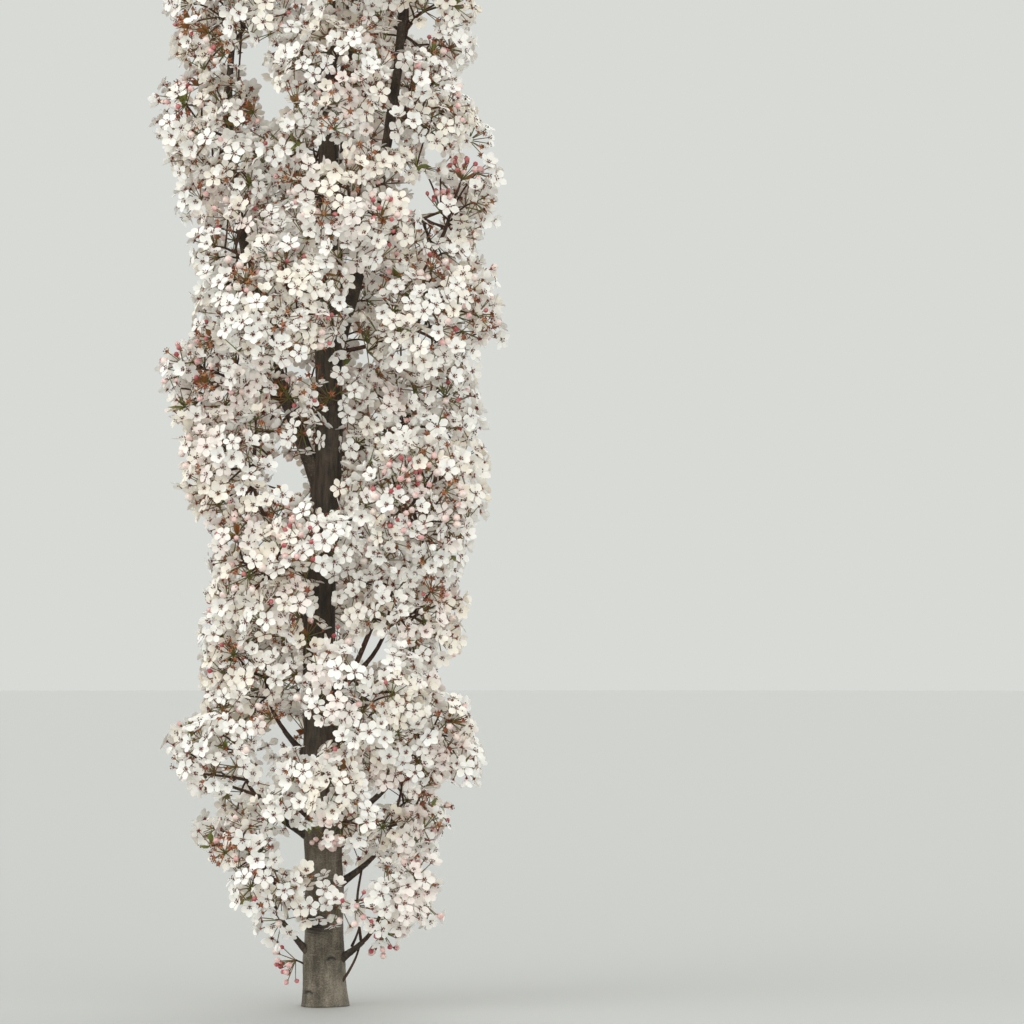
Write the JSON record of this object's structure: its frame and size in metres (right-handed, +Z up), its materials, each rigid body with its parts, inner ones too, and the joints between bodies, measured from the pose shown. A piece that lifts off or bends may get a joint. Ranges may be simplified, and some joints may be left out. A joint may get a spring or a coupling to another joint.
{
  "type": "flowering pear tree",
  "caption": "Young columnar flowering tree in full white blossom: a tapering trunk flared at the root, steep leaders and short boughs, and rounded masses of five-petalled blossom.",
  "frame": {"origin": "middle of the flat cut under the trunk, at ground level", "axes": "+Z up along the trunk, +X to the right of the pictured side, which faces -Y"},
  "size_m": [0.3708, 0.3122, 1.6743],
  "materials": {
    "trunk_bark": "smooth grey-brown bark, matt",
    "limb_bark": "dark brown young bark, matt",
    "blossom": "soft white petals, matt"
  },
  "bodies": {
    "root": {"trunk": "trunk_bark", "bough_back_1": "limb_bark", "bough_back_3": "limb_bark", "bough_left_2": "limb_bark", "bough_left_3": "limb_bark", "bough_left_5": "limb_bark", "bough_low_left": "limb_bark", "bough_low_right": "limb_bark", "bough_right_2": "limb_bark", "bough_right_3": "limb_bark", "bough_right_4": "limb_bark", "leader_back": "limb_bark", "leader_left": "limb_bark", "leader_right": "limb_bark", "blossom_back_1": "blossom", "blossom_back_2": "blossom", "blossom_back_3": "blossom", "blossom_back_4": "blossom", "blossom_back_5": "blossom", "blossom_back_6": "blossom", "blossom_back_7": "blossom", "blossom_back_8": "blossom", "blossom_front_1": "blossom", "blossom_front_2": "blossom", "blossom_front_3": "blossom", "blossom_front_4": "blossom", "blossom_front_5": "blossom", "blossom_front_6": "blossom", "blossom_left_1": "blossom", "blossom_left_2": "blossom", "blossom_left_3": "blossom", "blossom_left_4": "blossom", "blossom_left_5": "blossom", "blossom_left_6": "blossom", "blossom_left_7": "blossom", "blossom_left_8": "blossom", "blossom_left_9": "blossom", "blossom_right_1": "blossom", "blossom_right_10": "blossom", "blossom_right_2": "blossom", "blossom_right_3": "blossom", "blossom_right_4": "blossom", "blossom_right_5": "blossom", "blossom_right_6": "blossom", "blossom_right_7": "blossom", "blossom_right_8": "blossom", "blossom_right_9": "blossom", "blossom_top_1": "blossom", "blossom_top_10": "blossom", "blossom_top_11": "blossom", "blossom_top_12": "blossom", "blossom_top_2": "blossom", "blossom_top_3": "blossom", "blossom_top_4": "blossom", "blossom_top_5": "blossom", "blossom_top_6": "blossom", "blossom_top_7": "blossom", "blossom_top_8": "blossom", "blossom_top_9": "blossom"}
  },
  "joints": []
}
